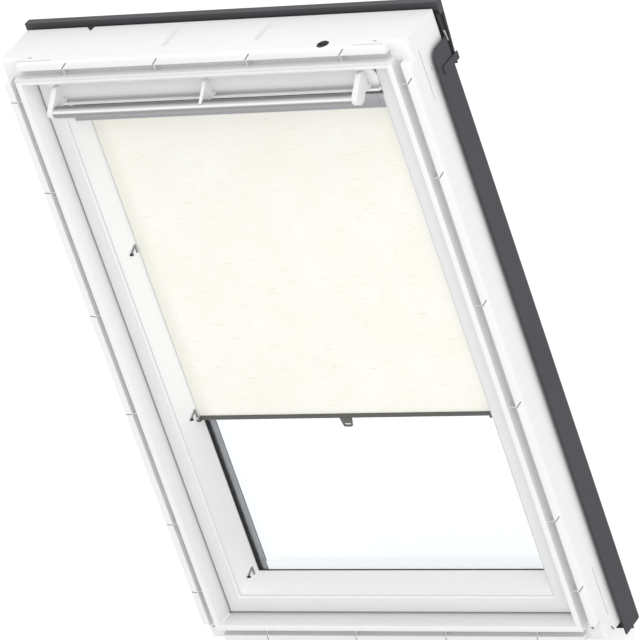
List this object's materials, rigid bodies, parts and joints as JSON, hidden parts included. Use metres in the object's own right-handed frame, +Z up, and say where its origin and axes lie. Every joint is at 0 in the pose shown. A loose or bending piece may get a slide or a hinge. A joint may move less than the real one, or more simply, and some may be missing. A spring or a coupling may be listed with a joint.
{
  "type": "roof window with blind",
  "caption": "Centre-pivot roof window in a white frame, with a top control bar, a vent flap, grey outer covers and a cream roller blind held by side hooks.",
  "frame": {"origin": "middle of the flat underside of the frame's sill", "axes": "+X to the right as seen from the room, +Y from the room to the outside, +Z up the roof slope"},
  "size_m": [0.6756, 0.1455, 1.023],
  "materials": {
    "white_frame": "white satin coat over a laminated timber core",
    "white_sash": "white satin coat over a laminated timber core",
    "grey_cover": "grey lacquered sheet",
    "dark_hood": "dark grey lacquered sheet",
    "black_rubber": "matt black",
    "black_plastic": "satin black",
    "zinc": "zinc plated",
    "aluminium": "satin anodised",
    "white_aluminium": "white lacquered extrusion",
    "white_plastic": "white moulded",
    "clear_glass": "clear float glass",
    "cream_fabric": "slubbed blackout cloth",
    "grey_bar": "dark grey lacquered extrusion",
    "grey_plastic": "dark grey moulded"
  },
  "bodies": {
    "frame": {"frame_head": "white_frame", "frame_sill": "white_frame", "frame_jamb_left": "white_frame", "frame_jamb_right": "white_frame", "side_cover_left": "grey_cover", "hood_foot_left": "grey_cover", "hood_end_left": "black_plastic", "pivot_plate_left": "zinc", "side_cover_right": "grey_cover", "hood_foot_right": "grey_cover", "hood_end_right": "black_plastic", "pivot_plate_right": "zinc", "sill_cover": "grey_cover", "sill_apron": "black_rubber", "hood": "dark_hood", "strike_plate": "zinc", "cable_grommet": "black_rubber"},
    "sash": {"sash_bottom_rail": "white_sash", "sash_stile_left": "white_sash", "sash_stile_right": "white_sash", "sash_top_rail": "white_sash", "inner_pane": "clear_glass", "outer_pane": "clear_glass", "pane_spacer": "aluminium", "glazing_gasket": "black_rubber", "sash_seal": "black_rubber", "sash_cover_top": "grey_cover", "sash_cover_bottom": "grey_cover", "sash_cover_left": "grey_cover", "sash_cover_right": "grey_cover", "pivot_arm_left": "zinc", "pivot_arm_right": "zinc", "lock_case": "zinc", "latch_bolt": "zinc", "headrail": "aluminium", "blind_bracket_left": "aluminium", "blind_bracket_right": "aluminium", "spring_spindle": "zinc", "hook_upper_left": "zinc", "hook_upper_right": "zinc", "hook_middle_left": "zinc", "hook_middle_right": "zinc", "hook_lower_left": "zinc", "hook_lower_right": "zinc", "fabric": "cream_fabric"},
    "vent_bar": {"vent_flap": "white_aluminium", "control_bar": "aluminium", "bar_bracket_left": "white_plastic", "bar_bracket_middle": "white_plastic", "bar_bracket_right": "white_plastic"},
    "blind_bar": {"bottom_bar": "grey_bar", "bar_cap_left": "grey_plastic", "bar_cap_right": "grey_plastic", "pull_tab": "grey_plastic"},
    "roller": {"roller_tube": "aluminium", "wound_fabric": "cream_fabric", "winding_spring": "zinc", "spring_end_plug": "black_plastic", "pin_end_plug": "black_plastic"}
  },
  "joints": [
    {"name": "sash_pivot", "type": "hinge", "parent": "frame", "child": "sash", "pos_m": [0, 0.0045, 0.489], "axis": [1, 0, 0], "range_deg": [0, 160]},
    {"name": "vent_flap_hinge", "type": "hinge", "parent": "sash", "child": "vent_bar", "pos_m": [0, -0.0185, 0.8982], "axis": [1, 0, 0], "range_deg": [0, 45]},
    {"name": "blind_travel", "type": "slide", "parent": "sash", "child": "blind_bar", "axis": [0, 0, 1], "range_m": [-0.25, 0.5], "deforming": ["fabric"]},
    {"name": "roller_turn", "type": "hinge", "parent": "sash", "child": "roller", "pos_m": [0, -0.004, 0.876], "axis": [1, 0, 0], "continuous": true}
  ],
  "couplings": [
    {"joint": "roller_turn", "follows": "blind_travel", "rad_per_m": 125}
  ]
}
